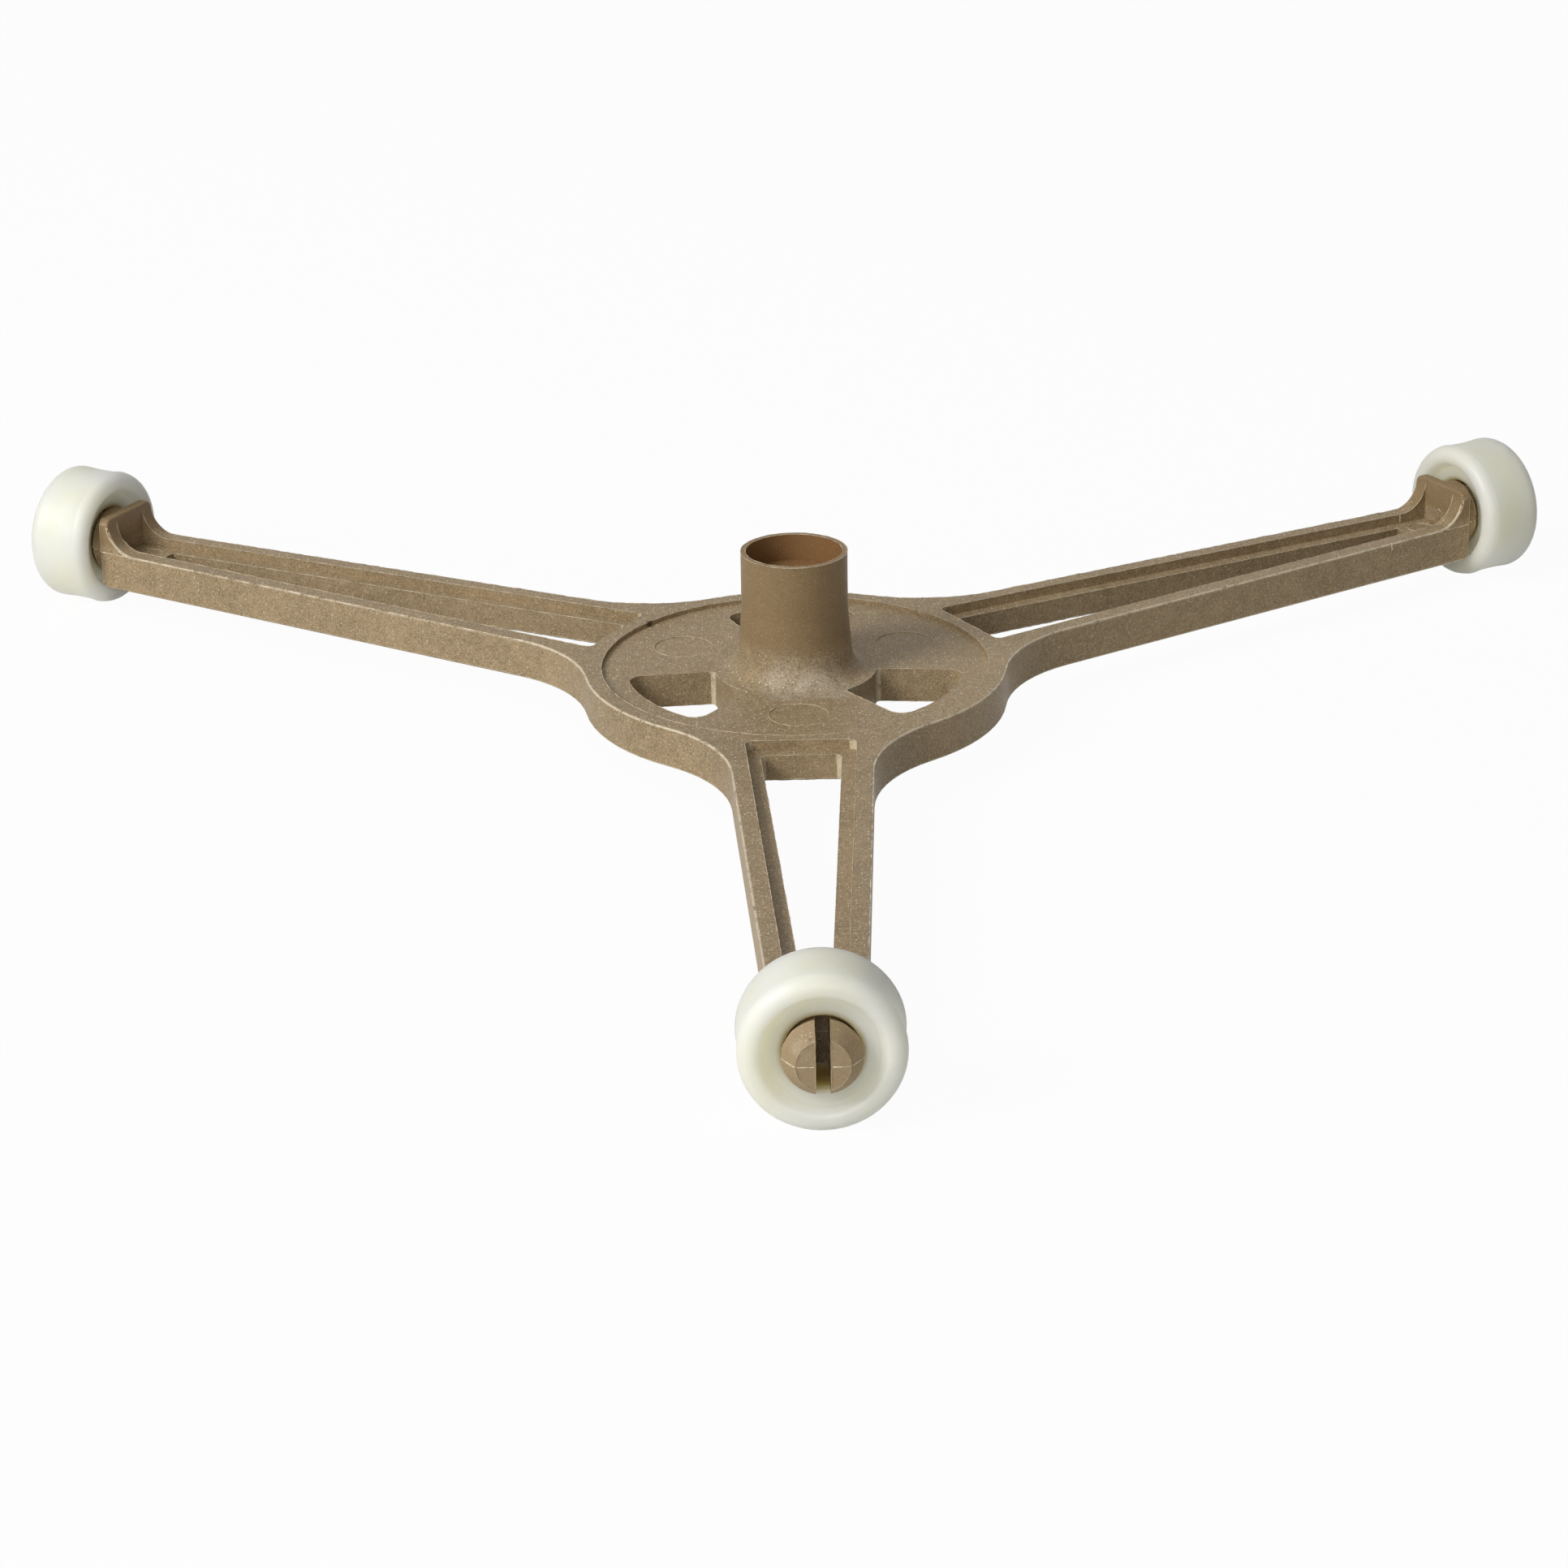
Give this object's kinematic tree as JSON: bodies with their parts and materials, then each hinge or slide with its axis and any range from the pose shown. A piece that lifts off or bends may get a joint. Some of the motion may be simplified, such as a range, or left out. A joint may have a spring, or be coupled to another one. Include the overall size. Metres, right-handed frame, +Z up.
{
  "type": "microwave roller ring",
  "caption": "Star-shaped turntable support for a microwave oven: a moulded hub with a central tube, and tapered slotted arms that each carry a roller on a split snap pin.",
  "frame": {"origin": "centre of the drive socket's mouth, in the plane of the carrier's underside", "axes": "+Z up along the central tube, -Y along the front arm, +X to the right of it"},
  "size_m": [0.207, 0.1814, 0.024],
  "materials": {
    "brown_plastic": "satin mineral-filled plastic in a warm brown, with fine pale flecks",
    "ivory_plastic": "satin ivory plastic, slightly translucent"
  },
  "bodies": {
    "carrier": {"carrier": "brown_plastic"},
    "roller_front": {"roller_front": "ivory_plastic"},
    "roller_right": {"roller_right": "ivory_plastic"},
    "roller_left": {"roller_left": "ivory_plastic"}
  },
  "joints": [
    {"name": "roller_front_spin", "type": "hinge", "parent": "carrier", "child": "roller_front", "pos_m": [0, -0.1105, 0.0054], "axis": [0, -1, 0], "continuous": true},
    {"name": "roller_right_spin", "type": "hinge", "parent": "carrier", "child": "roller_right", "pos_m": [0.0957, 0.05525, 0.0054], "axis": [0.866, 0.5, 0], "continuous": true},
    {"name": "roller_left_spin", "type": "hinge", "parent": "carrier", "child": "roller_left", "pos_m": [-0.0957, 0.05525, 0.0054], "axis": [-0.866, 0.5, 0], "continuous": true}
  ]
}
